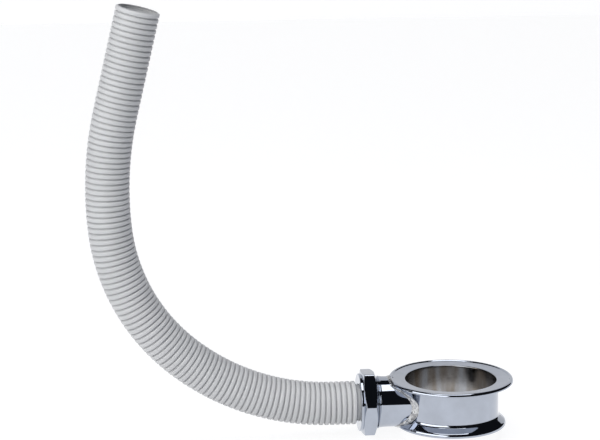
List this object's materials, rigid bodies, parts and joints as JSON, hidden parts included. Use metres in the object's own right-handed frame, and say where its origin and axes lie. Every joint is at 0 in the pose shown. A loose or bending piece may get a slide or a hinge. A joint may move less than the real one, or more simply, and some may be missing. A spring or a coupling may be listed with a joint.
{
  "type": "overflow kit",
  "caption": "Overflow kit: flanged metal waste ring with a brazed side outlet, hexagon union nut and a stiff corrugated hose that curves up to an open end.",
  "frame": {"origin": "centre of the waste ring's bore, half way up the ring", "axes": "+Z along the ring's bore towards its wide top flange; -X along the outlet towards the hose, which rises in the XZ plane"},
  "size_m": [0.2377, 0.07, 0.2453],
  "materials": {
    "chrome": "polished chrome plate on brass",
    "braze": "lumpy braze under chrome plate",
    "rubber": "matt black",
    "white_plastic": "matt off-white"
  },
  "bodies": {
    "root": {"waste_ring": "chrome", "outlet_spigot": "chrome", "braze_bead": "braze", "union_nut": "chrome", "sealing_washer": "rubber", "hose_tail": "white_plastic", "overflow_hose": "white_plastic"}
  },
  "joints": []
}
